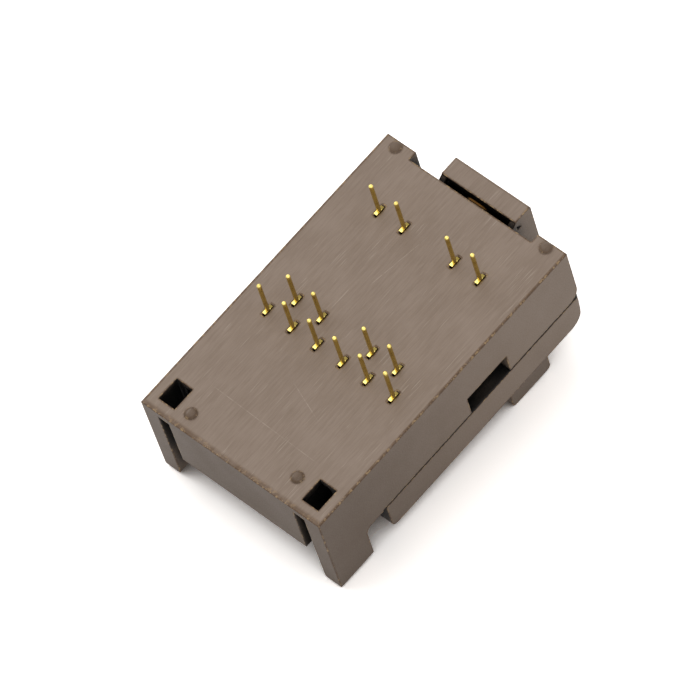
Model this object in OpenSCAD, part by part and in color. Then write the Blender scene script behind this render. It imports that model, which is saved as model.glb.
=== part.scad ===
// Clamshell test socket for a small-outline package, with its lid latched shut.
// It lies on its lid with the pins up. Z = 0 is the seat face that meets the circuit
// board and +Z runs along the pins, so the body lies below zero. The lid's hinge is at
// the -Y end and the latch at the +Y end. All depths are measured down from the seat.

/* [Base] */
// Width of the base across the long sides
base_w = 18; // [17.6:0.1:20]
// Length of the base, hinge end to latch end
base_l = 28.5; // [28.2:0.1:32]
// Depth of the base, from the seat to the parting line
base_h = 6.2; // [6:0.1:6.6]
// Thickness of the side walls and ears
wall_t = 1.6; // [1.5:0.05:1.7]
// Thickness of the floor under the contacts
floor_t = 1.65; // [1.4:0.05:1.9]
// Radius of the rounded corner at the latch end, seen from the side
nose_r = 1.1; // [0.6:0.1:1.4]
// How much deeper the side walls are behind the lid than at the parting line
heel_step = 0.15; // [0.1:0.05:0.3]
// Depth of the deck round the contacts
deck_h = 5.7; // [5.2:0.1:5.8]
// Thickness of the end wall between the ears
end_wall_t = 1.2; // [1:0.1:1.3]
// Rounding of the inside corners between wall and ear
fillet_r = 0.7; // [0.3:0.1:0.9]
// Height of the four stand-offs above the seat
standoff_h = 0.35; // [0.2:0.05:0.4]
// Diameter of the stand-offs
standoff_d = 1.05; // [0.9:0.05:1.2]

/* [Ears] */
// Length of each ear along the base
ear_l = 3.75; // [3.6:0.05:4.2]
// Depth of the ear tips
ear_h = 10.05; // [9.6:0.05:10.4]
// Rounding of the ear tips, seen from the side
ear_r = 0.4; // [0.2:0.1:0.8]
// Rounding of the ear tips' inner edges, seen from the end
ear_in_r = 0.75; // [0.3:0.05:0.9]
// Rounding of their outer edges
ear_out_r = 0.35; // [0.2:0.05:0.5]
// Width of the gap between each ear and the end wall
gap_w = 1.1; // [1:0.05:1.2]
// Thickness of the lip that crosses the gap at the seat
lip_t = 0.65; // [0.4:0.05:0.8]
// Length of the square core holes by the ears, along the base
core_l = 2.08; // [1.8:0.02:2.2]
// Width of the core holes
core_w = 1.65; // [1.4:0.05:1.7]
// Distance of the core holes from the sides
core_edge = 0.9; // [0.85:0.05:1.1]

/* [Windows] */
// Length of the window in the top of each side wall
window_l = 4.5; // [3.5:0.1:5]
// Height of the windows
window_h = 2.1; // [1.5:0.1:2.3]

/* [Hinge] */
// Distance of the hinge axis from the hinge end
hinge_inset = 2.05; // [2:0.05:2.3]
// Depth of the hinge axis
hinge_h = 7.85; // [7.8:0.05:8]
// Diameter of the lid's trunnions
trunnion_d = 2.0; // [1.6:0.1:2.1]
// How far each trunnion reaches into its ear
trunnion_l = 0.6; // [0.4:0.05:0.7]
// Radius of the rounded end of the lid's arms
knuckle_r = 1.45; // [1.3:0.05:1.5]

/* [Lid] */
// Depth of the lid's own side walls
lid_h = 3.2; // [3:0.1:3.4]
// Thickness of the lid's plate
plate_t = 1.8; // [1.5:0.1:2]
// How far the lid's front end stands back from the latch end
lid_setback = 0; // [0:0.05:0.4]
// Length of the lid without its arms
lid_l = 22.4; // [22:0.1:22.6]
// Radius of the lid's front corner, seen from the side
lid_nose_r = 1.3; // [0.8:0.05:1.6]
// Draft of the lid's front face, in degrees
lid_draft = 8; // [4:1:10]
// Radius of the lid's front corners, seen from above
lid_plan_r = 0.4; // [0.3:0.1:1.2]
// Radius of the lid's rear corner
lid_tail_r = 0.6; // [0.2:0.1:0.8]
// Thickness of the lid's rim at its two ends
lid_rim = 1.45; // [1.3:0.05:1.6]
// Thickness of the lid's two hinge arms
hinge_arm_t = 0.75; // [0.6:0.05:0.8]
// Height of the raised block on the lid
block_h = 2.4; // [1.6:0.1:2.6]
// Length of the raised block along the lid
block_l = 4.35; // [4:0.05:5]
// Distance of the raised block from the latch end
block_inset = 4.15; // [3.9:0.05:5]
// How far the raised block stands in from the sides
block_side = 0.4; // [0.2:0.1:1]
// Rounding of the raised block's long edges
block_r = 0.4; // [0.3:0.1:0.8]

/* [Latch] */
// Width of the finger tab
tab_w = 7.44; // [6.84:0.1:8]
// How far the tab stands out past the latch end
tab_out = 1.75; // [1.5:0.05:1.9]
// How far the tab lies below the seat
tab_drop = 0.7; // [0.6:0.05:0.8]
// Length of the tab along Z
tab_l = 4.6; // [4:0.1:5]
// Rounding of the tab's outer edges
tab_r = 0.15; // [0.1:0.05:0.4]
// Thickness of the arm above the tab
arm_t = 1.1; // [1:0.05:1.3]
// Width of the arm and its tooth
arm_w = 6.0; // [5:0.1:6.2]
// How far the tooth reaches over the lid's ledge
tooth_reach = 1.0; // [0.7:0.05:1.1]
// Thickness of the tooth
tooth_t = 0.95; // [0.8:0.05:1]
// Height of the slope that leads the tooth over the lid
tooth_lead = 0.45; // [0.2:0.05:0.6]
// Width of the notch in the latch end
notch_w = 12.3; // [11.5:0.1:12.5]
// Depth of the notch into the latch end
notch_d = 0.79; // [0.7:0.01:0.84]
// Thickness of the roof over the latch bay
roof_t = 0.95; // [0.8:0.05:1.05]
// Diameter of the latch pin
latch_pin_d = 1.0; // [0.8:0.05:1]
// Depth of the latch pin's blind holes in the posts
latch_pin_seat = 1.35; // [1.1:0.05:1.4]
// Distance of the pin from the latch end
pivot_inset = 0.85; // [0.85:0.01:0.95]
// Depth of the pin below the seat
pivot_h = 2.6; // [2.5:0.05:2.75]
// Radius of the lugs round the pin
lug_r = 0.95; // [0.85:0.05:1]
// Width of the middle lug
lug_w = 1.0; // [0.8:0.1:1.2]
// Width of each outer lug
side_lug_w = 0.5; // [0.4:0.05:0.6]

/* [Spring] */
// Wire diameter of the torsion spring
wire_d = 0.45; // [0.3:0.05:0.5]
// Mean radius of its coils
coil_r = 1.0; // [0.9:0.02:1]
// Whole turns in each of the two coils
coil_turns = 2; // [1:1:3]

/* [Contacts] */
// Distance between neighbouring leads of the package
pitch = 1.27; // [1.2:0.01:1.3]
// Lead places on each side
places = 11; // [7:2:11]
// Distance between the two inner rows of pins
row_gap = 9.525; // [9:0.025:9.6]
// Distance from each inner row to its outer row
row_step = 1.905; // [1.8:0.005:2]
// Distance of the package's middle from the latch end
package_inset = 10.27; // [10.2:0.01:10.4]
// Pin diameter
pin_d = 0.36; // [0.3:0.02:0.4]
// Length of the pins past the seat
pin_l = 3.85; // [3:0.05:5]
// Thickness of the contact strip
strip_t = 0.3; // [0.2:0.02:0.34]
// Width of the shoulder under each pin
shoulder_w = 0.88; // [0.8:0.02:1]
// How far the shoulders stand above the seat
shoulder_rise = 0.1; // [0.05:0.01:0.15]
// Width of the spring arms, seen from the side
arm_strip = 0.36; // [0.3:0.02:0.4]
// Mean radius of the bend in the spring arms
bend_r = 0.8; // [0.6:0.05:0.9]
// Height of the arms above the floor
arm_rise = 2.15; // [2:0.05:2.3]
// Diameter of the rounded contact tips
tip_d = 0.5; // [0.44:0.02:0.56]
// How far the tips stand past the middle of the arms
tip_rise = 0.35; // [0.25:0.05:0.4]
// Distance between the two rows of contact tips
tip_gap = 9.4; // [9:0.05:9.6]
// Distance between the two rows of spring stems
stem_gap = 12.6; // [12.4:0.05:12.7]

/* [Nest] */
// Width of the package body between its leads
package_w = 7.5; // [7.3:0.1:7.6]
// Height of the package's seat above the floor
nest_rise = 2.1; // [2:0.05:2.15]
// Height of the guides between the leads above the floor
guide_rise = 2.55; // [2.45:0.05:2.6]
// Height of the outer combs above the floor
comb_rise = 3.25; // [3:0.05:3.5]
// Thickness of the nest's end walls
comb_wall = 0.3; // [0.2:0.05:0.35]
// Width of each bar of the pressure pad
press_w = 1.35; // [1:0.05:1.4]
// Gap between the pressure pad and the contact tips, which takes the leads
lead_gap = 0.25; // [0.15:0.05:0.4]
// Diameter of the two stakes that hold the pad in the lid
stake_d = 1.0; // [0.8:0.05:1.1]

/* [Clearances] */
// Gap between base and lid along the parting line
part_gap = 0.15; // [0.05:0.01:0.18]
// Side clearance of the pieces that move past each other
side_gap = 0.1; // [0.06:0.01:0.12]
// Radial clearance of pins and trunnions
run_gap = 0.035; // [0.02:0.005:0.06]
// Clearance of the contacts in their slots
slot_gap = 0.05; // [0.03:0.01:0.07]
// Clearance at the ends of the pins' slots
slot_end = 0.16; // [0.1:0.01:0.2]
// Clearance of the nest and pad in their housings
fit_gap = 0.1; // [0.05:0.01:0.15]

/* [Hidden] */
$fn = 48;
EPS = 0.01;
FAR = 60;

// Main planes along the base, across it and down from the seat
hinge_end = -base_l / 2;
latch_end = base_l / 2;
inner_w = base_w - 2 * wall_t;
part_z = -base_h;
floor_z = -floor_t;
deck_z = -deck_h;
lid_z = part_z - part_gap;
lid_top_z = part_z - lid_h;
plate_z = lid_top_z + plate_t;

// Hinge and lid
hinge_y = hinge_end + hinge_inset;
hinge_z = -hinge_h;
ear_y = hinge_end + ear_l;
end_wall_w = inner_w - 2 * gap_w;
lid_front = latch_end - lid_setback;
lid_rear = lid_front - lid_l;
hinge_arm_x = inner_w / 2 - side_gap - hinge_arm_t;

// Latch
pivot_y = latch_end - pivot_inset;
pivot_z = -pivot_h;
coil_out = coil_r + wire_d / 2;
bay_y = pivot_y - coil_out - side_gap;
bay_z = -roof_t;
tab_z = -tab_drop;
tab_low = tab_z - tab_l;
ledge_z = lid_top_z + tooth_t + part_gap;
tooth_y = lid_front - tooth_reach;
ledge_w = arm_w + 4 * side_gap;
spring_scoop = coil_out + 3 * side_gap;
arm_y = latch_end + side_gap;

// Contacts
package_y = latch_end - package_inset;
NEAR = [for (i = [0 : places - 1]) if (i != (places - 1) / 2) i];
TAIL = [for (i = [0 : places - 1]) if (i % 2 == 1 && i != (places - 1) / 2) i];
slot_w = strip_t + 2 * slot_gap;
arm_z = floor_z - arm_rise;
tip_z = arm_z - tip_rise;
foot_t = 0.45;
stem_out = stem_gap / 2 + arm_strip / 2;
slot_l = shoulder_w + 2 * slot_end;
slot_near = row_gap / 2 + row_step + slot_l / 2;
slot_far = stem_out + slot_gap;
well_near = package_y - slot_near - comb_wall - fit_gap;
well_far = package_y + slot_far + comb_wall + fit_gap;

// Nest and pressure pad
pad_tip_z = tip_z - lead_gap;
pad_in = (tip_gap - press_w) / 2;
pad_out = pad_in + press_w;
guide_out = pad_out + 2 * fit_gap;
stake_x = inner_w / 2 - 0.75 * stake_d;

// Core-outs in the deck
CORE_COLUMNS = 4;
rib_t = 0.7;
deck_core_w = (end_wall_w - (CORE_COLUMNS + 1) * rib_t) / CORE_COLUMNS;
deck_core_y0 = hinge_end + end_wall_t;
deck_core_y1 = well_near - end_wall_t;
deck_core_l = (deck_core_y1 - deck_core_y0 - rib_t) / 2;

// The four stand-offs, measured in from the sides and ends
STANDOFFS = [
    [-base_w / 2 + 1.3, latch_end - 0.6],
    [base_w / 2 - 1.62, latch_end - 0.53],
    [-base_w / 2 + 3.79, hinge_end + 1.47],
    [base_w / 2 - 4.06, hinge_end + 2.2]
];

BODY = [0.33, 0.29, 0.26];
INNER = [0.24, 0.21, 0.19];
GOLD = [0.80, 0.62, 0.25];
STEEL = [0.62, 0.62, 0.62];

function place_x(i) = (i - (places - 1) / 2) * pitch;

CONTACTS = concat(
    [for (i = NEAR) [i, -1, i % 2 == 0 ? row_step : 0]],
    [for (i = TAIL) [i, 1, 0]]
);
CONTACT_NAMES = ["contact_01", "contact_02", "contact_03", "contact_04", "contact_05",
                 "contact_06", "contact_07", "contact_08", "contact_09", "contact_10",
                 "contact_11", "contact_12", "contact_13", "contact_14"];

// A side view, drawn as Y across and Z up, carried from x0 to x1.
module side_slab(x0, x1)
    translate([x0, 0, 0]) rotate([90, 0, 90]) linear_extrude(x1 - x0) children();

// A box between two corners.
module block(low, high) translate(low) cube(high - low);

// The children and their mirror image across the middle of the socket.
module both_sides() {
    children();
    mirror([1, 0, 0]) children();
}

// The side view of a rectangle between two corners.
module view_box(low, high) translate(low) square(high - low);

// Side view of the base, with its rounded corner at the latch end.
module base_view() {
    intersection() {
        view_box([hinge_end, part_z], [latch_end, 0]);
        union() {
            view_box([hinge_end, part_z], [latch_end - nose_r, 0]);
            view_box([hinge_end, part_z + nose_r], [latch_end, 0]);
            translate([latch_end - nose_r, part_z + nose_r]) circle(nose_r);
        }
    }
}

// Side view of an ear, its rounded tip and the fillet where it leaves the wall.
module ear_view() {
    heel_z = part_z - heel_step;
    tip = -ear_h;
    view_box([hinge_end, tip + ear_r], [ear_y, 0]);
    view_box([hinge_end + ear_r, tip], [ear_y - ear_r, 0]);
    for (y = [hinge_end + ear_r, ear_y - ear_r])
        translate([y, tip + ear_r]) circle(ear_r);
    view_box([ear_y - EPS, heel_z], [lid_rear - fillet_r / 2, part_z + EPS]);
    difference() {
        view_box([ear_y - EPS, heel_z - fillet_r], [ear_y + fillet_r, heel_z + EPS]);
        translate([ear_y + fillet_r, heel_z - fillet_r]) circle(fillet_r);
    }
}

// End view of an ear, with the rounded edges of its tip.
module ear_end_view() {
    x0 = inner_w / 2;
    x1 = base_w / 2;
    tip = -ear_h;
    translate([x0, tip + ear_in_r]) square([x1 - x0, ear_h - ear_in_r]);
    translate([x0 + ear_in_r, tip]) square([x1 - x0 - ear_in_r - ear_out_r, ear_h]);
    translate([x0 + ear_in_r, tip + ear_out_r]) square([x1 - x0 - ear_in_r, ear_h - ear_out_r]);
    translate([x0 + ear_in_r, tip + ear_in_r]) circle(ear_in_r);
    translate([x1 - ear_out_r, tip + ear_out_r]) circle(ear_out_r);
}

// The through slots for the pins' shoulders.
module pin_slots() {
    for (c = CONTACTS) {
        y = package_y + c[1] * (row_gap / 2 + c[2]);
        translate([place_x(c[0]) - slot_w / 2, y - slot_l / 2, floor_z - EPS])
            cube([slot_w, slot_l, floor_t + 2 * EPS]);
    }
}

// The pockets that lighten the deck between hinge and contacts.
module deck_cores() {
    for (column = [0 : CORE_COLUMNS - 1], row = [0, 1]) {
        x = -end_wall_w / 2 + rib_t + column * (deck_core_w + rib_t);
        y = deck_core_y0 + row * (deck_core_l + rib_t);
        translate([x, y, -FAR]) cube([deck_core_w, deck_core_l, FAR + floor_z]);
    }
}

// One low domed stand-off on the seat.
module standoff(x, y) {
    ball_r = (pow(standoff_d / 2, 2) + pow(standoff_h, 2)) / (2 * standoff_h);
    translate([x, y, 0]) intersection() {
        translate([0, 0, standoff_h - ball_r]) sphere(ball_r);
        translate([0, 0, -0.1]) cylinder(d = standoff_d, h = standoff_h + 0.2);
    }
}

module base() {
    core_x = base_w / 2 - core_edge;
    color(BODY) {
        difference() {
            union() {
                side_slab(-base_w / 2, base_w / 2) base_view();
                both_sides() intersection() {
                    side_slab(inner_w / 2, base_w / 2) ear_view();
                    translate([0, FAR, 0]) rotate([90, 0, 0])
                        linear_extrude(2 * FAR) ear_end_view();
                }
            }
            // the well for contacts and nest
            block([-inner_w / 2, well_near, -FAR], [inner_w / 2, well_far, floor_z]);
            // the deck round the well, behind the end wall
            block([-inner_w / 2, hinge_end + end_wall_t, -FAR], [inner_w / 2, bay_y, deck_z]);
            // the bay for latch and spring, and the notch above it
            block([-notch_w / 2, bay_y, -FAR], [notch_w / 2, FAR, bay_z]);
            block([-notch_w / 2, latch_end - notch_d, -FAR], [notch_w / 2, FAR, FAR]);
            deck_cores();
            pin_slots();
            both_sides() {
                // the gap between ear and end wall, closed by a lip at the seat
                block([end_wall_w / 2, -FAR, -FAR], [inner_w / 2, ear_y, -lip_t]);
                // the core hole beside the ear
                translate([core_x - core_w, hinge_y - core_l / 2, -hinge_h + trunnion_d * 0.75])
                    cube([core_w, core_l, FAR]);
                // the ear's blind bore for the trunnion
                translate([inner_w / 2 - EPS, hinge_y, hinge_z]) rotate([0, 90, 0])
                    cylinder(d = trunnion_d + 2 * run_gap, h = trunnion_l + side_gap + EPS);
                // the window in the side wall
                block([inner_w / 2 - EPS, package_y - window_l / 2, -FAR],
                      [FAR, package_y + window_l / 2, part_z + window_h]);
                // the blind hole for the latch pin
                translate([notch_w / 2 - EPS, pivot_y, pivot_z]) rotate([0, 90, 0])
                    cylinder(d = latch_pin_d + 2 * run_gap, h = latch_pin_seat + EPS);
            }
        }
        for (at = STANDOFFS) standoff(at[0], at[1]);
    }
}

// Side view of the lid, with its drafted front and its rounded front and rear corners.
module lid_view() {
    top = lid_top_z;
    nose_z = top + lid_nose_r;
    nose_y = lid_front - (lid_nose_r + sin(lid_draft) * (lid_z - nose_z)) / cos(lid_draft);
    nose = [nose_y, nose_z];
    tail = [lid_rear + lid_tail_r, top + lid_tail_r];
    polygon([[lid_rear, lid_z], [lid_front, lid_z],
             nose + lid_nose_r * [cos(lid_draft), -sin(lid_draft)], nose,
             [nose_y, top], [tail[0], top], tail, [lid_rear, tail[1]]]);
    intersection() {
        translate(nose) circle(lid_nose_r);
        view_box([nose_y - EPS, top], [lid_front, nose_z]);
    }
    translate(tail) circle(lid_tail_r);
}

// The lid's outline from above, with its rounded front corners.
module lid_plan() {
    x = base_w / 2 - lid_plan_r;
    y = lid_front - lid_plan_r;
    view_box([-base_w / 2, lid_rear], [base_w / 2, y]);
    view_box([-x, lid_rear], [x, lid_front]);
    translate([x, y]) circle(lid_plan_r);
    translate([-x, y]) circle(lid_plan_r);
}

// Side view of the raised block across the lid.
module block_view() {
    y1 = latch_end - block_inset;
    y0 = y1 - block_l;
    top = lid_top_z - block_h;
    view_box([y0, top + block_r], [y1, lid_top_z + EPS]);
    view_box([y0 + block_r, top], [y1 - block_r, lid_top_z + EPS]);
    for (y = [y0 + block_r, y1 - block_r]) translate([y, top + block_r]) circle(block_r);
}

module lid() {
    block_x = base_w / 2 - block_side;
    color(BODY) {
        difference() {
            union() {
                intersection() {
                    side_slab(-base_w / 2, base_w / 2) lid_view();
                    translate([0, 0, lid_top_z]) linear_extrude(lid_h) lid_plan();
                }
                side_slab(-block_x, block_x) block_view();
            }
            // the hollow that takes the pressure pad
            block([-inner_w / 2, lid_rear + lid_rim, plate_z],
                  [inner_w / 2, lid_front - lid_rim, FAR]);
            // the ledge under the latch's tooth
            block([-ledge_w / 2, tooth_y - 2 * side_gap, -FAR], [ledge_w / 2, FAR, ledge_z]);
            // the holes for the pad's stakes
            both_sides() translate([stake_x, package_y, -FAR])
                cylinder(d = stake_d + 2 * run_gap, h = FAR + plate_z + EPS);
        }
        both_sides() {
            // the hinge arm and its trunnion
            side_slab(hinge_arm_x, hinge_arm_x + hinge_arm_t) {
                translate([hinge_y, hinge_z]) circle(knuckle_r);
                view_box([hinge_y, lid_top_z],
                         [lid_rear + lid_tail_r + EPS, hinge_z + knuckle_r]);
            }
            translate([hinge_arm_x + hinge_arm_t - EPS, hinge_y, hinge_z]) rotate([0, 90, 0])
                cylinder(d = trunnion_d, h = side_gap + trunnion_l + EPS);
        }
    }
}

// Side view of the latch's lug round the pin.
module lug_view() {
    translate([pivot_y, pivot_z]) circle(lug_r);
    view_box([pivot_y, pivot_z - lug_r], [latch_end + tab_out / 2, pivot_z + lug_r * 0.8]);
}

// Side view of an outer lug, with the web that runs from its round to the tab's top.
module web_view() {
    top = tab_z - side_gap;
    reach = [latch_end - pivot_y, top - pivot_z];
    angle = atan2(reach[1], reach[0]) + acos(lug_r / norm(reach));
    lug_view();
    polygon([[pivot_y, pivot_z], [latch_end + EPS, pivot_z], [latch_end + EPS, top],
             [latch_end, top], [pivot_y + lug_r * cos(angle), pivot_z + lug_r * sin(angle)]]);
}

module latch() {
    tab_y = latch_end + tab_out;
    color(BODY) {
        difference() {
            union() {
                difference() {
                    // the finger tab, rounded along its outer edges
                    side_slab(-tab_w / 2, tab_w / 2) {
                        view_box([latch_end, tab_low], [tab_y - tab_r, tab_z]);
                        view_box([latch_end, tab_low + tab_r], [tab_y, tab_z - tab_r]);
                        for (z = [tab_z - tab_r, tab_low + tab_r])
                            translate([tab_y - tab_r, z]) circle(tab_r);
                    }
                    // the hollow that clears the spring
                    translate([-tab_w / 2 - EPS, pivot_y, pivot_z]) rotate([0, 90, 0])
                        cylinder(r = spring_scoop, h = tab_w + 2 * EPS);
                }
                side_slab(-lug_w / 2, lug_w / 2) lug_view();
                both_sides() side_slab(tab_w / 2 - side_lug_w, tab_w / 2) web_view();
                // the arm and the tooth over the lid
                side_slab(-arm_w / 2, arm_w / 2) {
                    view_box([arm_y, lid_top_z], [arm_y + arm_t, tab_low + EPS]);
                    polygon([[tooth_y + tooth_lead / 2, lid_top_z], [arm_y + EPS, lid_top_z],
                             [arm_y + EPS, lid_top_z + tooth_t],
                             [tooth_y, lid_top_z + tooth_t], [tooth_y, lid_top_z + tooth_lead]]);
                }
            }
            translate([-tab_w, pivot_y, pivot_z]) rotate([0, 90, 0])
                cylinder(d = latch_pin_d + 2 * run_gap, h = 2 * tab_w);
        }
    }
}

module latch_pin() {
    reach = notch_w / 2 + latch_pin_seat - side_gap;
    color(STEEL) translate([-reach, pivot_y, pivot_z]) rotate([0, 90, 0])
        cylinder(d = latch_pin_d, h = 2 * reach);
}

// ---- Torsion spring: one wire swept along a path worked out from the latch ----

// Angle round the pivot at which a wire from a point meets the coil; side is 1 or -1.
function touch_angle(p, side) = atan2(p[1], p[0]) + side * acos(coil_r / norm(p));

// A point of the wire at x, given its place round the pivot.
function at_pivot(x, p) = [x, pivot_y + p[0], pivot_z + p[1]];

bridge = [latch_end - side_gap - wire_d / 2 - pivot_y, tab_z - wire_d - pivot_z];
leg_end = [-coil_r, bay_z - side_gap - pivot_z];
coil_x0 = lug_w / 2 + wire_d / 2 + side_gap;
coil_x1 = tab_w / 2 - side_lug_w - wire_d / 2 - side_gap;
bend_x = wire_d * 0.8;
start_angle = touch_angle(bridge, -1);
end_angle = touch_angle(leg_end, 1) - 360 * (coil_turns + 1);
COIL_STEPS = 20 * coil_turns;

// One half of the wire: bridge, bend, arm, coil and leg.
function half_wire() = concat(
    [at_pivot(0, bridge)],
    [for (a = [0 : 22.5 : 90])
        at_pivot(coil_x0 - bend_x + bend_x * sin(a), bridge)
        + (1 - cos(a)) * bend_x * arm_direction()],
    [for (k = [0 : COIL_STEPS]) let (s = k / COIL_STEPS, a = start_angle + s * (end_angle - start_angle))
        at_pivot(coil_x0 + s * (coil_x1 - coil_x0), coil_r * [cos(a), sin(a)])],
    [at_pivot(coil_x1, leg_end)]
);

// Direction of the wire from the bridge down to its coil.
function arm_direction() =
    let (p = coil_r * [cos(start_angle), sin(start_angle)] - bridge)
    [0, p[0], p[1]] / norm(p);

function mirrored(points) = [for (k = [len(points) - 1 : -1 : 1]) [-points[k][0], points[k][1], points[k][2]]];

function unit(v) = v / norm(v);

// Direction of the path at each point.
function directions(path) = [for (k = [0 : len(path) - 1])
    unit(path[min(k + 1, len(path) - 1)] - path[max(k - 1, 0)])];

// Normals carried along the path without twist.
function normals(t) = [for (k = 0, n = unit(cross(t[0], [1, 0, 0])); k < len(t);
    k = k + 1, n = k < len(t) ? unit(n - (n * t[k]) * t[k]) : n) n];

// A round wire along a path.
module wire(path, d, sides) {
    t = directions(path);
    n = normals(t);
    points = [for (k = [0 : len(path) - 1], s = [0 : sides - 1])
        path[k] + d / 2 * (cos(360 * s / sides) * n[k] + sin(360 * s / sides) * cross(t[k], n[k]))];
    last = (len(path) - 1) * sides;
    faces = concat(
        [[for (s = [0 : sides - 1]) s]],
        [for (k = [0 : len(path) - 2], s = [0 : sides - 1])
            let (q = (s + 1) % sides, a = k * sides)
            [a + s, a + sides + s, a + sides + q, a + q]],
        [[for (s = [sides - 1 : -1 : 0]) last + s]]
    );
    polyhedron(points, faces, convexity = 10);
}

module latch_spring() {
    half = half_wire();
    color(STEEL) wire(concat(mirrored(half), half), wire_d, 8);
}

// Side view of the nest: package seat, lead guides and outer combs, from the near
// end of the well to the far end.
module nest_view() {
    low = floor_z;
    near = well_near + fit_gap;
    far = well_far - fit_gap;
    view_box([near, low - nest_rise], [far, low]);
    for (side = [-1, 1]) {
        inner = package_y + side * (package_w / 2 + fit_gap);
        middle = package_y + side * guide_out;
        outer = side < 0 ? near : far;
        view_box([min(inner, outer), low - guide_rise], [max(inner, outer), low]);
        view_box([min(middle, outer), low - comb_rise], [max(middle, outer), low]);
    }
}

module nest() {
    half_w = inner_w / 2 - fit_gap;
    slot_in = (tip_gap - tip_d) / 2 - 2 * slot_gap;
    color(INNER) difference() {
        side_slab(-half_w, half_w) nest_view();
        // a slot for the contact at each lead place
        for (i = [0 : places - 1], side = [-1, 1]) {
            y0 = package_y + (side < 0 ? -slot_near : slot_in);
            y1 = package_y + (side < 0 ? -slot_in : slot_far);
            block([place_x(i) - slot_w / 2, y0, -FAR], [place_x(i) + slot_w / 2, y1, FAR]);
        }
    }
}

// The pad in the lid: two bars that press the leads down, joined at their ends.
module pressure_pad() {
    half_w = inner_w / 2 - 2 * fit_gap;
    end_t = 1.1 * stake_d;
    head_h = 0.3;
    color(INNER) {
        for (side = [-1, 1])
            block([-half_w, package_y + (side < 0 ? -pad_out : pad_in), plate_z],
                  [half_w, package_y + (side < 0 ? -pad_in : pad_out), pad_tip_z]);
        both_sides() {
            block([half_w - end_t, package_y - pad_in - EPS, plate_z],
                  [half_w, package_y + pad_in + EPS, plate_z + press_w]);
            // a stake through the lid, with its closed head outside
            translate([stake_x, package_y, lid_top_z]) cylinder(d = stake_d, h = plate_t + EPS);
            translate([stake_x, package_y, lid_top_z - head_h])
                cylinder(d1 = 1.2 * stake_d, d2 = 1.7 * stake_d, h = head_h);
        }
    }
}

// Side view of one contact, with Y as the distance from the package's middle.
module contact_view(pin_at) {
    stem = stem_gap / 2;
    half = arm_strip / 2;
    bend_z = arm_z + bend_r;
    foot_z = floor_z - foot_t;
    view_box([pin_at - shoulder_w / 2, floor_z - EPS], [pin_at + shoulder_w / 2, shoulder_rise]);
    view_box([min(pin_at - shoulder_w / 2, stem - half), foot_z],
             [max(pin_at + shoulder_w / 2, stem + half), floor_z]);
    view_box([stem - half, bend_z - EPS], [stem + half, foot_z + EPS]);
    // the bend from stem to arm
    intersection() {
        translate([stem - bend_r, bend_z]) difference() {
            circle(bend_r + half);
            circle(bend_r - half);
        }
        view_box([stem - bend_r, bend_z - FAR], [stem + FAR, bend_z]);
    }
    view_box([tip_gap / 2, arm_z - half], [stem - bend_r + EPS, arm_z + half]);
    // the raised tip under the lead
    translate([tip_gap / 2, tip_z + tip_d / 2]) circle(d = tip_d);
}

module contact(n) {
    c = CONTACTS[n];
    pin_at = row_gap / 2 + c[2];
    color(GOLD) translate([place_x(c[0]), package_y, 0]) mirror([0, c[1] < 0 ? 1 : 0, 0]) {
        side_slab(-strip_t / 2, strip_t / 2) contact_view(pin_at);
        translate([0, pin_at, shoulder_rise - EPS]) {
            straight = pin_l - pin_d / 2 - shoulder_rise + EPS;
            cylinder(d = pin_d, h = straight);
            translate([0, 0, straight]) sphere(d = pin_d);
        }
    }
}

base();
lid();
latch();
latch_pin();
latch_spring();
nest();
pressure_pad();
for (n = [0 : len(CONTACTS) - 1])
    contact(n);
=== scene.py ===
"""Finishes, wound spring, stage and camera for a clamshell test socket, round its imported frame."""

import math

import bpy
import numpy as np
from bpy.props import FloatProperty, FloatVectorProperty, IntProperty, PointerProperty
from mathutils import Matrix, Vector


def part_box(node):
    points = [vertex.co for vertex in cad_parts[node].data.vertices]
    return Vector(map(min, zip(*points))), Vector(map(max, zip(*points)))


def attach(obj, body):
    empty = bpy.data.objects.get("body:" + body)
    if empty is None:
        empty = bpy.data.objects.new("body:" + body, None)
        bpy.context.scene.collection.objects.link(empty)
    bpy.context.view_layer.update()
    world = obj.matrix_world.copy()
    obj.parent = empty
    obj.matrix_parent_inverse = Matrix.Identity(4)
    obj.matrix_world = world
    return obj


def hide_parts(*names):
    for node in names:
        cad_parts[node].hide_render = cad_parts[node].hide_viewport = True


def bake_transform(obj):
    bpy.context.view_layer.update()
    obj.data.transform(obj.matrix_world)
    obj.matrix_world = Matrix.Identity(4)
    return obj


bl_info = {
    "name": "Clamshell test socket",
    "version": (1, 0, 0),
    "blender": (4, 5, 0),
    "location": "3D View > Sidebar > Socket",
    "description": "Finishes, spring, stage and camera for a clamshell test socket",
    "category": "Object",
}

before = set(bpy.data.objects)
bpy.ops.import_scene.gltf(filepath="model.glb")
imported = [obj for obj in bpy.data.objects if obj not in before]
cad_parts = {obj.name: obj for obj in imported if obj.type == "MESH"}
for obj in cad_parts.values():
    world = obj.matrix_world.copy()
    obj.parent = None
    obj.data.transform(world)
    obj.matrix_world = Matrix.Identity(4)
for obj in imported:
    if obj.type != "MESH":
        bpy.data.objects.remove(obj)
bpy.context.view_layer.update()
MM = 0.001

BASE_LOW, BASE_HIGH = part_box("base")
LID_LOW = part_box("lid")[0]
LATCH_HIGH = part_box("latch")[1]
PIN_LOW, PIN_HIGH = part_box("latch_pin")
WIRE_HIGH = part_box("latch_spring")[1]
PIVOT = (PIN_LOW + PIN_HIGH) / 2
CONTACTS = [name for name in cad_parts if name.startswith("contact_")]
PIN_TOP = max(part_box(name)[1].z for name in CONTACTS)

# height of the parting between base and lid
BASE_LEDGE = -6.2 * MM
# heights over which the painted shade on the walls low down passes from dark to plain
LOW_WALL_SHADE = (LID_LOW.z + 2.25 * MM, LID_LOW.z + 2.45 * MM)
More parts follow.
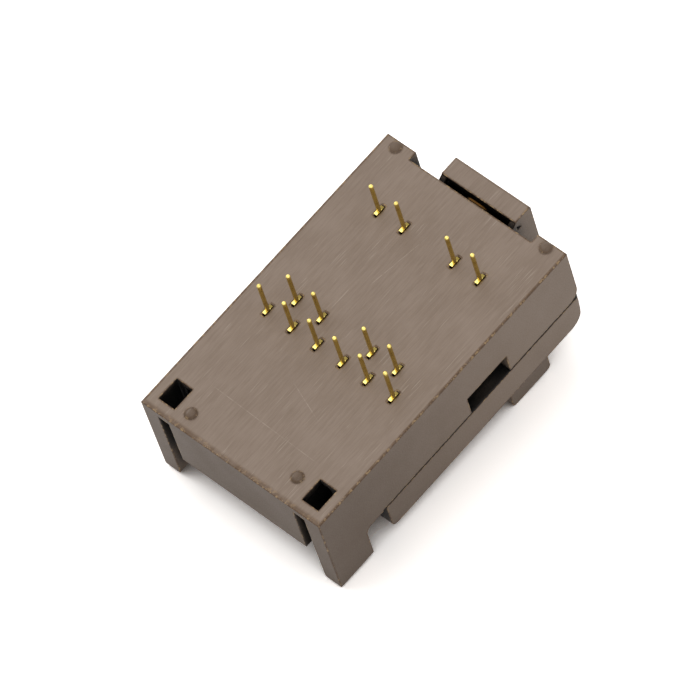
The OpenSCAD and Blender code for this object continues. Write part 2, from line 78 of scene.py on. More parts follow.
# bounds of the area that holds the contacts' slots: along Y, and out on each side
SLOTS_FROM, SLOTS_TO, SLOTS_OUT = -5 * MM, 10 * MM, 7.3 * MM
# where the long scratches on the seat start and end, in millimetres
LONG_SCRATCHES = (
    ((-5.5, -10.0), (5.7, -10.3)),
    ((-0.9, -6.1), (3.4, -7.7)),
    ((-1.5, 3.0), (-0.5, 9.5)),
)
SCRATCH_HALF_W = 0.045 * MM


def pin_place(name):
    """Where along Y a contact's pin stands: the middle of its points well above the seat."""
    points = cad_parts[name].data.vertices
    high = [v.co.y for v in points if v.co.z > 0.5 * PIN_TOP]
    return (min(high) + max(high)) / 2


def ink(red, green, blue):
    """The linear colour of three display levels from 0 to 255."""
    levels = np.array([red, green, blue]) / 255
    return tuple(np.where(levels <= 0.04045, levels / 12.92, ((levels + 0.055) / 1.055) ** 2.4))


class HousingLooks(bpy.types.PropertyGroup):
    colour: FloatVectorProperty(
        name="Housing", description="Colour of the moulded base, lid and latch",
        subtype="COLOR", size=3, min=0, max=1, default=ink(136, 119, 105))
    # brown of rubbed edges, also used darkened for painted shade on walls and in corners
    rub_and_shade_colour: FloatVectorProperty(
        name="Rubbed edge", description="Colour that the edges have browned to",
        subtype="COLOR", size=3, min=0, max=1, default=ink(88, 62, 36))
    # bright nicks on the edges, partly wear and partly a painted highlight
    nick_and_highlight_colour: FloatVectorProperty(
        name="Bright nicks", description="Colour of the bright nicks along the edges",
        subtype="COLOR", size=3, min=0, max=1, default=ink(214, 180, 130))
    scratch_colour: FloatVectorProperty(
        name="Scratches", description="Colour of the fine scratches",
        subtype="COLOR", size=3, min=0, max=1, default=ink(176, 162, 148))
    edge_radius: FloatProperty(
        name="Edge rounding", description="How far from an edge the wear reaches",
        unit="LENGTH", precision=5, min=0.00002, max=0.0004, default=0.24 * MM)
    # painted shade on the walls: how much darker they are painted at the hinge end
    painted_wall_shade: FloatProperty(
        name="Dimming", description="How much darker the walls are at the hinge end",
        subtype="FACTOR", min=0, max=1, default=0.45)
    roughness: FloatProperty(
        name="Roughness", description="Mean roughness of the moulded plastic",
        subtype="FACTOR", min=0, max=1, default=0.5)


class InsertLooks(bpy.types.PropertyGroup):
    colour: FloatVectorProperty(
        name="Inserts", description="Colour of the nest and the pressure pad",
        subtype="COLOR", size=3, min=0, max=1, default=ink(88, 76, 66))


class MetalLooks(bpy.types.PropertyGroup):
    gold: FloatVectorProperty(
        name="Gold plating", description="Colour of the plated contacts",
        subtype="COLOR", size=3, min=0, max=1, default=ink(255, 232, 134))
    wire: FloatVectorProperty(
        name="Spring wire", description="Colour of the tempered spring wire",
        subtype="COLOR", size=3, min=0, max=1, default=ink(76, 52, 24))
    steel: FloatVectorProperty(
        name="Latch pin", description="Colour of the ground latch pin",
        subtype="COLOR", size=3, min=0, max=1, default=ink(190, 188, 184))
    roughness: FloatProperty(
        name="Plating roughness", description="Mean roughness of the gold plating",
        subtype="FACTOR", min=0, max=1, default=0.24)


class SpringSizes(bpy.types.PropertyGroup):
    wire_d: FloatProperty(
        name="Wire", description="Diameter of the spring wire",
        unit="LENGTH", precision=5, default=0.45 * MM)
    coil_r: FloatProperty(
        name="Coil radius", description="Radius of the coils, to the middle of the wire",
        unit="LENGTH", precision=5, default=1.0 * MM)
    turns: IntProperty(
        name="Turns", description="Whole turns in each coil", min=1, default=2)
    inner_x: FloatProperty(
        name="Coil start", description="Distance of each coil's first turn from the middle",
        unit="LENGTH", precision=5, default=0.825 * MM)
    gap: FloatProperty(
        name="Clearance", description="Clearance between the wire and the housing",
        unit="LENGTH", precision=5, default=0.1 * MM)
    roof_t: FloatProperty(
        name="Roof", description="Thickness of the base over the spring's legs",
        unit="LENGTH", precision=5, default=0.95 * MM)
    sides: IntProperty(
        name="Sides", description="Facets round the wire", min=8, default=18)


class StageLooks(bpy.types.PropertyGroup):
    camera_place: FloatVectorProperty(
        name="Camera place", description="Where the camera stands",
        subtype="TRANSLATION", unit="LENGTH", precision=6,
        default=(0.261875, -0.162176, 0.514901))
    camera_aim: FloatVectorProperty(
        name="Camera aim", description="The point that the camera looks at",
        subtype="TRANSLATION", unit="LENGTH", precision=6,
        default=(0.000644, -0.001363, -0.000752))
    camera_up: FloatVectorProperty(
        name="Camera up", description="The direction that stands upright in the picture",
        subtype="DIRECTION", default=(-0.512338, 0.711205, 0.481349))
    lens: FloatProperty(
        name="Lens", description="Focal length on a 36 mm sensor",
        subtype="DISTANCE_CAMERA", default=412.56)
    floor_colour: FloatVectorProperty(
        name="Floor", description="Colour of the lit floor to the camera, high enough to be white",
        subtype="COLOR", size=3, min=0, max=4, default=(1.95, 1.9, 1.86))
    # the floor's painted shadow beside the part: its darkest colour, how far it reaches and which
    # way it leans
    shade_colour: FloatVectorProperty(
        name="Floor shade", description="Colour of the floor where it is darkest, beside the part",
        subtype="COLOR", size=3, min=0, max=4, default=(0.5, 0.44, 0.4))
    shade_reach: FloatProperty(
        name="Shade reach", description="How far from the part the floor is darkened",
        unit="LENGTH", precision=4, default=16 * MM)
    shade_from: FloatVectorProperty(
        name="Shade from", description="Direction that the floor's darkening leans away from",
        subtype="DIRECTION", default=(0.62, 0.42, 0.66))
    floor_r: FloatProperty(
        name="Floor radius", description="Radius of the round floor",
        unit="LENGTH", default=60 * MM)
    block_rear: FloatProperty(
        name="Resting line", description="Where along Y the lid's raised block touches the floor",
        unit="LENGTH", precision=5, default=6.15 * MM)
    sky: FloatProperty(
        name="Sky", description="Strength of the even light from all round",
        min=0, default=0.52)
    key: FloatProperty(
        name="Key lamp", description="Strength of the large soft key lamp",
        min=0, default=1.15)
    fill: FloatProperty(
        name="Fill lamp", description="Strength of the fill lamp beside the camera",
        min=0, default=0.5)


class Graph:
    """The node tree of one finish, with one short call for each node."""

    def __init__(self, name):
        self.material = bpy.data.materials.new(name)
        self.material.use_nodes = True
        self.tree = self.material.node_tree
        self.tree.nodes.clear()

    def add(self, kind, inputs=None, **settings):
        """A node of that kind, with its settings, and its inputs linked or set."""
        node = self.tree.nodes.new("ShaderNode" + kind)
        for key, value in settings.items():
            setattr(node, key, value)
        for key, value in (inputs or {}).items():
            if isinstance(value, bpy.types.NodeSocket):
                self.tree.links.new(value, node.inputs[key])
            else:
                node.inputs[key].default_value = value
        return node

    def place(self):
        """Coordinates fixed to the piece, in metres."""
        return self.add("TexCoord").outputs["Object"]

    def stretch(self, vector, scale, turn=(0, 0, 0), shift=(0, 0, 0)):
        """Coordinates turned, moved and multiplied."""
        return self.add("Mapping", {"Vector": vector, "Scale": scale, "Rotation": turn,
                                    "Location": shift}).outputs[0]

    def noise(self, vector, scale=1.0, detail=2.0, roughness=0.5):
        """Cloudy noise, mostly between 0.3 and 0.7."""
        return self.add("TexNoise", {"Vector": vector, "Scale": scale, "Detail": detail,
                                     "Roughness": roughness}).outputs[0]

    def span(self, value, low, high, to_low=0.0, to_high=1.0):
        """A value carried smoothly from one span to another and held at its ends."""
        return self.add("MapRange", {"Value": value, "From Min": low, "From Max": high,
                                     "To Min": to_low, "To Max": to_high},
                        interpolation_type="SMOOTHSTEP").outputs[0]

    def chain(self, kind, first, *others):
        """One kind of arithmetic on several numbers, from left to right."""
        for other in others:
            first = self.add("Math", {0: first, 1: other}, operation=kind).outputs[0]
        return first

    def times(self, *numbers):
        """The product of several numbers."""
        return self.chain("MULTIPLY", *numbers)

    def most(self, *numbers):
        """The largest of several numbers."""
        return self.chain("MAXIMUM", *numbers)

    def less(self, *numbers):
        """The first number less all the others."""
        return self.chain("SUBTRACT", *numbers)

    def weighted(self, *terms):
        """The sum of several numbers, each times its weight."""
        return self.chain("ADD", *(self.times(*term) for term in terms))

    def size(self, number):
        """A number without its sign."""
        return self.chain("ABSOLUTE", number, 0)

    def dot(self, a, b):
        """The dot product of two vectors."""
        return self.add("VectorMath", {0: a, 1: b}, operation="DOT_PRODUCT").outputs["Value"]

    def mix(self, share, a, b):
        """Colour a turned into colour b by a share."""
        return self.add("Mix", {0: share, 6: a, 7: b}, data_type="RGBA").outputs[2]

    def openness(self, distance, samples, **settings):
        """One where nothing is near, and less in corners and hollows up to that distance."""
        return self.add("AmbientOcclusion", {"Distance": distance}, samples=samples,
                        **settings).outputs["AO"]

    def stroke(self, start, end, half_width):
        """One on a straight line across the XY plane from start to end, none beside it."""
        start, end = Vector((*start, 0)) * MM, Vector((*end, 0)) * MM
        length = (end - start).length
        along = (end - start).normalized()
        across = along.cross(Vector((0, 0, 1)))
        away = self.add("VectorMath", {0: self.place(), 1: start}, operation="SUBTRACT").outputs[0]
        run, side = self.dot(away, along), self.size(self.dot(away, across))
        return self.times(self.span(run, 0, 1 * MM), self.span(run, length - 2 * MM, length, 1, 0),
                          self.span(side, 0.3 * half_width, half_width, 1, 0))

    def bumped(self, height, strength, distance, normal=None):
        """The surface's normal, made uneven by a height."""
        inputs = {"Strength": strength, "Distance": distance, "Height": height}
        if normal is not None:
            inputs["Normal"] = normal
        return self.add("Bump", inputs).outputs[0]

    def close(self, shader):
        """Links the shader to the output and gives the finished material."""
        self.add("OutputMaterial", {"Surface": shader})
        return self.material

    def close_surface(self, colour, rough, normal, **inputs):
        """Ends the tree with a plain surface."""
        return self.close(self.add("BsdfPrincipled", {
            "Base Color": colour, "Roughness": rough, "Normal": normal, **inputs}).outputs[0])


def opaque(colour, level=1.0):
    """A colour with full cover, made darker or lighter by a level."""
    return (*(min(1.0, c * level) for c in colour), 1.0)


class HousingGraph(Graph):
    """The finish of the moulded pieces: masks that its layers share, and one method a layer."""

    def __init__(self, name, looks, shift):
        super().__init__(name)
        self.looks = looks
        self.here = self.stretch(self.place(), (1, 1, 1), shift=shift)
        self.spot = self.add("SeparateXYZ", {0: self.place()}).outputs
        normal = self.add("TexCoord").outputs["Normal"]
        self.flat = self.span(self.add("SeparateXYZ", {0: normal}).outputs[2], 0.5, 0.9)
        self.upright = self.less(1.0, self.flat)
        self.streak = self.noise(self.stretch(self.here, (5200, 330, 5200)),
                                 detail=5, roughness=0.62)
        self.grain = self.noise(self.here, 8000, 2)
        self.near = self.openness(0.25 * MM, 6, only_local=True)
        # the stand-offs, above the seat, are rounded more than the other edges
        reach = self.span(self.spot[2], 0.01 * MM, 0.06 * MM, looks.edge_radius, 0.5 * MM)
        self.bevel = self.add("Bevel", {"Radius": reach}, samples=8).outputs[0]

    def tone(self):
        """Streaks, hairs and clouds on level faces, an even speckle on the walls."""
        hair = self.noise(self.stretch(self.here, (15000, 800, 15000)), detail=2)
        cloud = self.noise(self.here, 300, 3, 0.55)
        drawn = self.weighted((self.streak, 0.45), (hair, 0.25), (cloud, 0.3))
        drawn = self.span(drawn, 0.32, 0.68)
        speckle = self.weighted((self.grain, 0.6), (cloud, 0.4))
        speckle = self.span(speckle, 0.3, 0.7, 0.2, 0.8)
        return self.chain("ADD", speckle, self.times(self.flat, self.less(drawn, speckle)))

    def walls(self, colour):
        """Painted shade: walls darker than the seat, most of all at the hinge end and low down."""
        end = self.span(self.spot[1], BASE_LOW.y, 0.6 * BASE_HIGH.y, self.looks.painted_wall_shade, 0.0)
        low = self.span(self.spot[2], *LOW_WALL_SHADE, 0.35, 0.0)
        share = self.times(self.most(end, low), self.upright)
        return self.mix(share, colour, opaque(self.looks.rub_and_shade_colour, 0.25))

    def scratches(self):
        """Thin lines in two directions, only here and there, and a few long ones."""
        lines = []
        for turn, width, length in ((0.5, 7500, 210), (-0.9, 9000, 260)):
            line = self.stretch(self.here, (width, length, width), turn=(0, 0, turn))
            lines.append(self.span(self.noise(line, detail=1), 0.66, 0.72))
        some = self.span(self.noise(self.here, 420, 2), 0.48, 0.62)
        scratch = self.times(self.most(*lines), some)
        broken = self.span(self.noise(self.here, 1500, 3, 0.7), 0.42, 0.56, 0.25, 1.0)
        for start, end in LONG_SCRATCHES:
            line = self.stroke(start, end, SCRATCH_HALF_W)
            scratch = self.most(scratch, self.times(line, broken))
        return self.times(scratch, self.flat)

    def stand_offs(self, colour):
        """What stands above the seat is browner."""
        proud = self.span(self.spot[2], 0.03 * MM, 0.2 * MM)
        return self.mix(self.times(proud, 0.5), colour, opaque(self.looks.rub_and_shade_colour, 0.6))

    def rim(self):
        """One along the seat's edge at the hinge end and along its two long edges."""
        end = self.span(self.spot[1], BASE_LOW.y + 0.2 * MM, BASE_LOW.y + 0.55 * MM, 0.9, 0.0)
        away = self.less(BASE_HIGH.x, self.size(self.spot[0]), self.spot[2])
        sides = self.span(away, 0.1 * MM, 0.24 * MM, 1.0, 0.0)
        return self.most(self.times(end, self.flat), sides)

    def edges(self, colour):
        """Outer edges browned in patches by wear, with small bright nicks that are partly a painted
        highlight.
        """
        # the further the rounded normal leans from the face, the nearer the edge
        face = self.add("NewGeometry").outputs["Normal"]
        lean = self.less(1.0, self.dot(self.bevel, face))
        outer = self.span(self.near, 0.72, 0.92)
        rim = self.rim()
        patch = self.span(self.noise(self.here, 900, 4, 0.6), 0.36, 0.56, 0.6, 1.0)
        rubbed = self.times(self.most(self.span(lean, 0.0003, 0.02), rim), outer, patch)
        colour = self.mix(self.times(rubbed, 0.8), colour, opaque(self.looks.rub_and_shade_colour))
        # on the sharpest edges the bright colour is partly nicks and partly a painted highlight
        sharp = self.most(self.span(lean, 0.01, 0.08), self.times(rim, 0.3))
        nick_and_glint = self.span(self.noise(self.here, 2600, 3, 0.7), 0.5, 0.6)
        nick_and_glint = self.times(nick_and_glint, sharp, outer)
        return self.mix(self.times(nick_and_glint, 0.55), colour, opaque(self.looks.nick_and_highlight_colour))

    def mouths(self):
        """One near the mouths of the contacts' slots."""
        x, y, z = self.size(self.spot[0]), self.spot[1], self.spot[2]
        return self.times(
            self.span(z, -0.5 * MM, -0.2 * MM), self.span(y, SLOTS_FROM - 1 * MM, SLOTS_FROM),
            self.span(y, SLOTS_TO, SLOTS_TO + 0.6 * MM, 1.0, 0.0),
            self.span(x, SLOTS_OUT, SLOTS_OUT + 0.2 * MM, 1.0, 0.0))

    def hollows(self, colour):
        """Painted shade: dark corners and hollows, down to near black.

        The slots stay pale near their mouths, as painted light on their walls, so that their narrow
        gaps read less black, and level faces low down get painted shade sooner, as behind the
        windows in the side walls.
        """
        # painted shade in corners
        corner_shade = self.span(self.near, 0.45, 0.85)
        colour = self.mix(corner_shade, opaque(self.looks.rub_and_shade_colour, 0.25), colour)
        mouth = self.mouths()
        low_ledge_shade = self.span(self.spot[2], BASE_LEDGE + 3 * MM, BASE_LEDGE, 0.0, 0.26)
        # painted shade in hollows, down to near black: less near the slots' mouths, more on level
        # faces low down
        unshaded_share = self.chain("ADD", self.openness(3.2 * MM, 8), self.times(mouth, 0.6))
        unshaded_share = self.less(unshaded_share, self.times(self.flat, low_ledge_shade))
        colour = self.mix(self.span(unshaded_share, 0.42, 0.82), opaque(self.looks.colour, 0.01), colour)
        # painted light: the slots' walls near their mouths are three times lighter than the housing
        inner = self.times(mouth, self.span(self.spot[2], -0.03 * MM, -0.01 * MM, 1.0, 0.0))
        return self.mix(inner, colour, opaque(self.looks.colour, 3.0))


def housing_finish(name, looks, shift):
    """Moulded plastic with drawn streaks along Y, thin scratches and browned, nicked edges, with
    painted highlights on the edges, painted shade on walls and in hollows, and painted light in the
    slots' mouths.
    """
    g = HousingGraph(name, looks, shift)
    tone, scratch = g.tone(), g.scratches()
    dark = opaque([c * w for c, w in zip(looks.colour, (0.88, 0.86, 0.83))])
    colour = g.walls(g.mix(tone, dark, opaque(looks.colour, 1.1)))
    colour = g.mix(g.times(scratch, 0.4), colour, opaque(looks.scratch_colour))
    colour = g.hollows(g.edges(g.stand_offs(colour)))
    height = g.weighted((g.times(g.streak, g.flat), 0.6), (g.grain, 0.4), (scratch, -0.3))
    bump = g.bumped(height, 0.35, 0.02 * MM, g.bevel)
    rough = g.span(tone, 0, 1, looks.roughness + 0.08, looks.roughness - 0.08)
    return g.close_surface(colour, rough, bump, **{"Specular IOR Level": 0.34})


def insert_finish(name, looks):
    """Dark glass-filled plastic with a speckled grain, and painted shade in its hollows."""
    g = Graph(name)
    here = g.place()
    grain = g.noise(here, 7000, 3, 0.6)
    tone = g.span(g.weighted((grain, 0.5), (g.noise(here, 600, 2), 0.5)), 0.38, 0.62)
    colour = g.mix(tone, opaque(looks.colour, 0.75), opaque(looks.colour, 1.2))
    # painted shade in hollows, down to near black
    hollow_shade = g.span(g.openness(4 * MM, 8), 0.4, 0.85)
    colour = g.mix(hollow_shade, opaque(looks.colour, 0.02), colour)
    bevel = g.add("Bevel", {"Radius": 0.05 * MM}, samples=4).outputs[0]
    bump = g.bumped(grain, 0.3, 0.015 * MM, bevel)
    rough = g.span(grain, 0.3, 0.7, 0.62, 0.48)
    return g.close_surface(colour, rough, bump, **{"Specular IOR Level": 0.4})


def painted_pin_shade(g, shade, tarnish_and_shade, foot):
    """Painted shade on pins: darker shafts, and shoulders darker on the half past foot along Y."""
    spot = g.add("SeparateXYZ", {0: g.place()}).outputs
    shaft_shade = g.times(g.span(spot[2], 0.1 * MM, 0.5 * MM),
                    g.span(spot[2], PIN_TOP - 0.5 * MM, PIN_TOP, 1.0, 0.0))
    # painted shade on the shafts
    shade = g.mix(g.times(shaft_shade, 0.5), shade, opaque(tarnish_and_shade))
    # painted shade on the far half of each shoulder, near black
    behind = g.times(g.span(spot[1], foot + 0.12 * MM, foot + 0.22 * MM),
                     g.span(spot[2], 0.12 * MM, 0.3 * MM, 1.0, 0.0))
    return g.mix(g.times(behind, 0.85), shade, opaque(tarnish_and_shade, 0.12))


def metal_finish(name, colour, roughness, tarnish_and_shade, along, foot=None):
    """Metal with a little tarnish, fine draw marks along one way, and painted shade in its hollows.

    foot is where along Y a row of pins stands, for metal that makes pins.
    """
    g = Graph(name)
    here = g.place()
    marks = g.noise(g.stretch(here, along), detail=3)
    spots = g.span(g.noise(here, 1700, 3, 0.6), 0.5, 0.68)
    shade = g.mix(g.times(spots, 0.35), opaque(colour), opaque(tarnish_and_shade))
    if foot is not None:
        shade = painted_pin_shade(g, shade, tarnish_and_shade, foot)
    # painted shade in hollows, down to near black
    hollow_shade = g.span(g.openness(1.6 * MM, 6), 0.2, 0.6)
    shade = g.mix(hollow_shade, opaque(tarnish_and_shade, 0.05), shade)
    rough = g.span(marks, 0.3, 0.7, roughness - 0.06, roughness + 0.1)
    return g.close_surface(shade, rough, g.bumped(marks, 0.2, 0.006 * MM), Metallic=1.0)


def dress(material, *names):
    """Gives CAD nodes their finish."""
    for name in names:
        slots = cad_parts[name].data.materials
        slots.clear()
        slots.append(material)


def new_piece(name, points, faces, material):
    """A smooth mesh object at the origin, from points and faces worked out beforehand."""
    mesh = bpy.data.meshes.new(name)
    mesh.from_pydata(points, [], faces)
    mesh.shade_smooth()
    mesh.materials.append(material)
    piece = bpy.data.objects.new(name, mesh)
    bpy.context.scene.collection.objects.link(piece)
    return piece


def grid_faces(rows, columns):
    """Quads between neighbouring rows of a grid of points, closed across its columns."""
    row, column = np.meshgrid(np.arange(rows - 1), np.arange(columns), indexing="ij")
    a = row * columns + column
    b = row * columns + (column + 1) % columns
    return np.stack([a, b, b + columns, a + columns], axis=-1).reshape(-1, 4)


def tube(path, centre, radius, sides):
    """A round wire along a path that winds round the X axis through centre.

    At each point of the path, the wire's first direction is the line away from that axis,
    less its part along the path, and its second is square to both. The surface is the point
    plus radius times (cos v first + sin v second), for v from 0 to a full turn.
    """
    ahead = np.gradient(path, axis=0)
    ahead /= np.linalg.norm(ahead, axis=1, keepdims=True)
    out = path - centre
    out[:, 0] = 0
    out -= (out * ahead).sum(axis=1, keepdims=True) * ahead
    out /= np.linalg.norm(out, axis=1, keepdims=True)
    square = np.cross(ahead, out)
    v = np.linspace(0, 2 * np.pi, sides, endpoint=False)[None, :, None]
    points = path[:, None] + radius * (np.cos(v) * out[:, None] + np.sin(v) * square[:, None])
    faces = grid_faces(len(path), sides)[:, ::-1].tolist()
    last = (len(path) - 1) * sides
    faces.append(list(range(sides)))
    faces.append([last + k for k in reversed(range(sides))])
    return points.reshape(-1, 3), faces


def spring_path(sizes):
    """Middle line of the double torsion spring.

    It is a bridge behind the tab, with an arm, a coil and a leg on each side. In the plane
    across the latch pin, an arm or leg is the tangent from its end point to the coil's circle.
    Along the coil the angle and the distance from the middle both run evenly.
    """
    half_wire = sizes.wire_d / 2
    inner, outer = sizes.inner_x, WIRE_HIGH.x - half_wire
    bridge = np.array([BASE_HIGH.y - sizes.gap - half_wire - PIVOT.y,
                       LATCH_HIGH.z - sizes.wire_d - PIVOT.z])
    leg_end = np.array([-sizes.coil_r, -sizes.roof_t - sizes.gap - PIVOT.z])

    def touch(point, side):
        lean = math.acos(sizes.coil_r / np.hypot(*point))
        return math.atan2(point[1], point[0]) + side * lean

    start = touch(bridge, -1)
    end = touch(leg_end, 1) - 2 * math.pi * (sizes.turns + 1)
    angle = np.linspace(start, end, 48 * (sizes.turns + 1))
    coil = np.stack([np.linspace(inner, outer, len(angle)), sizes.coil_r * np.cos(angle),
                     sizes.coil_r * np.sin(angle)], axis=1)
    arm = coil[0, 1:] - bridge
    arm /= np.linalg.norm(arm)
    bend_r = 0.8 * sizes.wire_d
    a = np.linspace(0, np.pi / 2, 9)[:, None]
    bend = np.hstack([inner - bend_r + bend_r * np.sin(a),
                      bridge + (1 - np.cos(a)) * bend_r * arm])
    flat = np.array([[x, *bridge] for x in np.linspace(0, inner - bend_r, 5)[:-1]])
    s = np.linspace(0, 1, 8)[1:-1, None]
    down = bend[-1] + s * (coil[0] - bend[-1])
    leg = coil[-1] + np.linspace(0, 1, 6)[1:, None] * (np.array([outer, *leg_end]) - coil[-1])
    half = np.vstack([flat, bend, down, coil, leg])
    path = np.vstack([half[:0:-1] * [-1, 1, 1], half])
    path[:, 1:] += [PIVOT.y, PIVOT.z]
    return path


def disc(centre, radius, slope, shares=(0.02, 0.5, 1.0), sides=64):
    """A flat round sheet that leans by slope along Y: rings of points at shares of the radius."""
    turns = np.linspace(0, 2 * np.pi, sides, endpoint=False)
    share, turn = np.meshgrid(shares, turns, indexing="ij")
    x, y = share * radius * np.cos(turn), share * radius * np.sin(turn)
    points = np.stack([centre[0] + x, centre[1] + y, centre[2] + slope * y], axis=-1)
    faces = grid_faces(len(shares), sides)[:, ::-1].tolist()
    faces.append(list(range(sides)))
    return points.reshape(-1, 3), faces


class SOCKET_OT_housing(bpy.types.Operator):
    """Give the base, the lid and the latch their moulded, worn finish, with painted shade and
    highlights
    """

    bl_idname = "socket.housing"
    bl_label = "Housing"

    def execute(self, context):
        looks = context.scene.socket_housing
        dress(housing_finish("housing_base", looks, (0, 0, 0)), "base")
        dress(housing_finish("housing_lid", looks, (0.031, 0.017, 0.043)), "lid")
        dress(housing_finish("housing_latch", looks, (0.059, 0.083, 0.021)), "latch")
        return {"FINISHED"}


class SOCKET_OT_inserts(bpy.types.Operator):
    """Give the nest and the pressure pad their dark grained finish, with painted shade in hollows"""

    bl_idname = "socket.inserts"
    bl_label = "Inserts"

    def execute(self, context):
        plastic = insert_finish("insert_plastic", context.scene.socket_inserts)
        dress(plastic, "nest", "pressure_pad")
        return {"FINISHED"}


class SOCKET_OT_contacts(bpy.types.Operator):
    """Plate all the contacts with gold, with painted shade on shafts, shoulders and hollows"""

    bl_idname = "socket.contacts"
    bl_label = "Contacts"

    def execute(self, context):
        looks = context.scene.socket_metal
        rows = {}
        for name in CONTACTS:
            rows.setdefault(round(pin_place(name) / MM, 2), []).append(name)
        for number, (foot, names) in enumerate(sorted(rows.items()), 1):
            plating = metal_finish(f"gold_plating_{number}", looks.gold, looks.roughness,
                                   ink(142, 106, 34), (3000, 3000, 500), foot * MM)
            dress(plating, *names)
        return {"FINISHED"}


class SOCKET_OT_latch_pin(bpy.types.Operator):
    """Give the latch pin its ground steel finish"""

    bl_idname = "socket.latch_pin"
    bl_label = "Latch pin"

    def execute(self, context):
        looks = context.scene.socket_metal
        steel = metal_finish("ground_steel", looks.steel, 0.3, ink(120, 116, 110),
                             (600, 6000, 6000))
        dress(steel, "latch_pin")
        return {"FINISHED"}


class SOCKET_OT_spring(bpy.types.Operator):
    """Wind the double torsion spring of the latch"""

    bl_idname = "socket.spring"
    bl_label = "Latch spring"

    def execute(self, context):
        sizes, looks = context.scene.socket_spring, context.scene.socket_metal
        path = spring_path(sizes)
        points, faces = tube(path, np.array(PIVOT), sizes.wire_d / 2, sizes.sides)
        wire = metal_finish("spring_wire", looks.wire, 0.34, ink(84, 58, 28), (2500, 2500, 2500))
        piece = new_piece("wound_spring", points, faces, wire)
        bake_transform(piece)
        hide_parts("latch_spring")
        return {"FINISHED"}


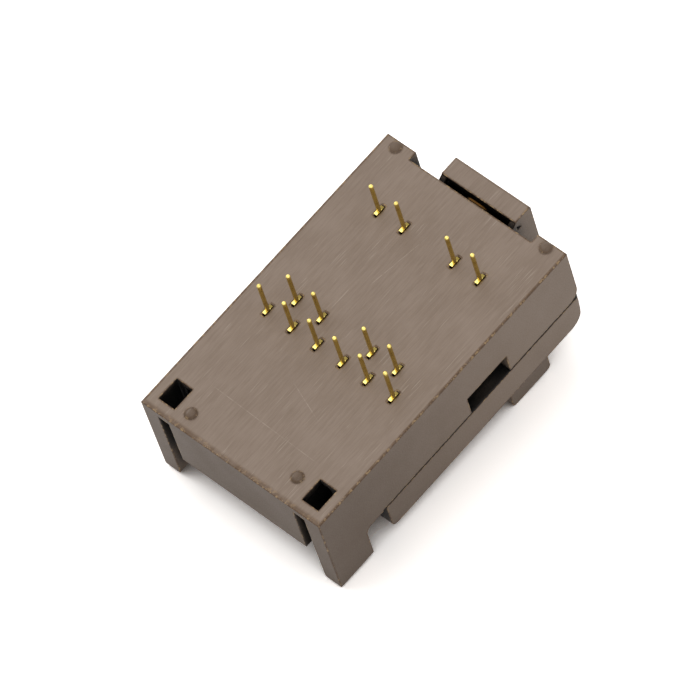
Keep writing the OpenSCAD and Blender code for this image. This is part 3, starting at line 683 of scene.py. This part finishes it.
class SOCKET_OT_stage(bpy.types.Operator):
    """Set up the camera, the floor, the sky and the lamps"""

    bl_idname = "socket.stage"
    bl_label = "Stage"

    def execute(self, context):
        stage = context.scene.socket_stage
        self.add_camera(context.scene, stage)
        self.add_floor(stage)
        self.add_sky(context.scene, stage)
        self.add_lamp("key_lamp", stage.key, (-0.62, 0.10, 0.78), 70)
        self.add_lamp("fill_lamp", stage.fill, (0.62, -0.12, 0.74), 60)
        context.scene.view_settings.view_transform = "Standard"
        return {"FINISHED"}

    def add_camera(self, scene, stage):
        data = bpy.data.cameras.new("camera")
        data.sensor_width = 36
        data.lens = stage.lens
        data.clip_start, data.clip_end = 0.05, 10
        place, aim = Vector(stage.camera_place), Vector(stage.camera_aim)
        up = Vector(stage.camera_up)
        back = (place - aim).normalized()
        right = up.cross(back).normalized()
        turn = Matrix((right, back.cross(right), back)).transposed().to_4x4()
        camera = bpy.data.objects.new("camera", data)
        camera.matrix_world = Matrix.Translation(place) @ turn
        scene.collection.objects.link(camera)
        scene.camera = camera

    def add_floor(self, stage):
        """The socket rests on its ears' tips and on its lid's raised block, so the floor leans."""
        slope = (LID_LOW.z - BASE_LOW.z) / (stage.block_rear - BASE_LOW.y)
        centre = (0, 0, BASE_LOW.z - slope * BASE_LOW.y)
        finish = self.floor_finish(stage)
        floor = new_piece("floor", *disc(centre, stage.floor_r, slope), finish)
        floor.visible_shadow = False
        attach(floor, "lid")

    def floor_finish(self, stage):
        """White to the camera, with the lamps' shadow and a painted shadow near the part, plain in
        mirrors, clear from below.
        """
        g = Graph("floor_white")
        # painted shadow: the floor's colour darkens where the part hides its open sky, leaning away
        # from shade_from
        open_sky = g.add("AmbientOcclusion", {
            "Distance": stage.shade_reach, "Normal": Vector(stage.shade_from).normalized(),
        }, samples=16).outputs["AO"]
        shade = g.mix(g.span(open_sky, 0.1, 0.5), opaque(stage.shade_colour),
                      (*stage.floor_colour, 1))
        shown, mirrored, plain = (
            g.add("BsdfDiffuse", {"Color": colour}).outputs[0]
            for colour in (shade, (1, 1, 1, 1), (0.8, 0.8, 0.8, 1)))
        rays = g.add("LightPath").outputs
        reflected = g.most(rays["Is Glossy Ray"], rays["Is Transmission Ray"])
        other = g.add("MixShader", {0: reflected, 1: plain, 2: mirrored}).outputs[0]
        lit = g.add("MixShader", {0: rays["Is Camera Ray"], 1: other, 2: shown}).outputs[0]
        clear = g.add("BsdfTransparent").outputs[0]
        under = g.add("NewGeometry").outputs["Backfacing"]
        return g.close(g.add("MixShader", {0: under, 1: lit, 2: clear}).outputs[0])

    def add_sky(self, scene, stage):
        world = bpy.data.worlds.new("sky")
        world.use_nodes = True
        tree = world.node_tree
        tree.nodes.clear()
        rays = tree.nodes.new("ShaderNodeLightPath").outputs
        soft, white = (tree.nodes.new("ShaderNodeBackground") for _ in range(2))
        for light in (soft, white):
            light.inputs["Color"].default_value = (1, 1, 1, 1)
        soft.inputs["Strength"].default_value = stage.sky
        white.inputs["Strength"].default_value = 1
        seen = rays["Is Camera Ray"]
        for ray in ("Is Glossy Ray", "Is Transmission Ray"):
            larger = tree.nodes.new("ShaderNodeMath")
            larger.operation = "MAXIMUM"
            tree.links.new(seen, larger.inputs[0])
            tree.links.new(rays[ray], larger.inputs[1])
            seen = larger.outputs[0]
        mix = tree.nodes.new("ShaderNodeMixShader")
        tree.links.new(seen, mix.inputs[0])
        tree.links.new(soft.outputs[0], mix.inputs[1])
        tree.links.new(white.outputs[0], mix.inputs[2])
        tree.links.new(mix.outputs[0], tree.nodes.new("ShaderNodeOutputWorld").inputs["Surface"])
        scene.world = world

    def add_lamp(self, name, strength, towards, spread):
        """A very large soft lamp, far away in the direction towards."""
        lamp = bpy.data.lights.new(name, "SUN")
        lamp.energy = strength
        lamp.angle = math.radians(spread)
        holder = bpy.data.objects.new(name, lamp)
        holder.rotation_mode = "QUATERNION"
        holder.rotation_quaternion = Vector(towards).to_track_quat("Z", "Y")
        bpy.context.scene.collection.objects.link(holder)


class SOCKET_PT_panel(bpy.types.Panel):
    """The socket's pieces and the sizes and colours that go with them"""

    bl_idname = "SOCKET_PT_panel"
    bl_label = "Test socket"
    bl_space_type = "VIEW_3D"
    bl_region_type = "UI"
    bl_category = "Socket"

    def draw(self, context):
        for group in GROUPS:
            looks = getattr(context.scene, group)
            box = self.layout.box()
            for name in looks.__annotations__:
                box.prop(looks, name)
        for operator in OPERATORS:
            self.layout.operator(operator.bl_idname)


GROUPS = {
    "socket_housing": HousingLooks,
    "socket_inserts": InsertLooks,
    "socket_metal": MetalLooks,
    "socket_spring": SpringSizes,
    "socket_stage": StageLooks,
}
OPERATORS = (SOCKET_OT_housing, SOCKET_OT_inserts, SOCKET_OT_contacts, SOCKET_OT_latch_pin,
             SOCKET_OT_spring, SOCKET_OT_stage)


def register():
    for kind in (*GROUPS.values(), *OPERATORS, SOCKET_PT_panel):
        bpy.utils.register_class(kind)
    for name, kind in GROUPS.items():
        setattr(bpy.types.Scene, name, PointerProperty(type=kind))


def unregister():
    for name in GROUPS:
        delattr(bpy.types.Scene, name)
    for kind in (SOCKET_PT_panel, *reversed(OPERATORS), *reversed(GROUPS.values())):
        bpy.utils.unregister_class(kind)


def main():
    """Builds every piece."""
    register()
    bpy.ops.socket.housing()
    bpy.ops.socket.inserts()
    bpy.ops.socket.contacts()
    bpy.ops.socket.latch_pin()
    bpy.ops.socket.spring()
    bpy.ops.socket.stage()


if __name__ == "__main__":
    main()
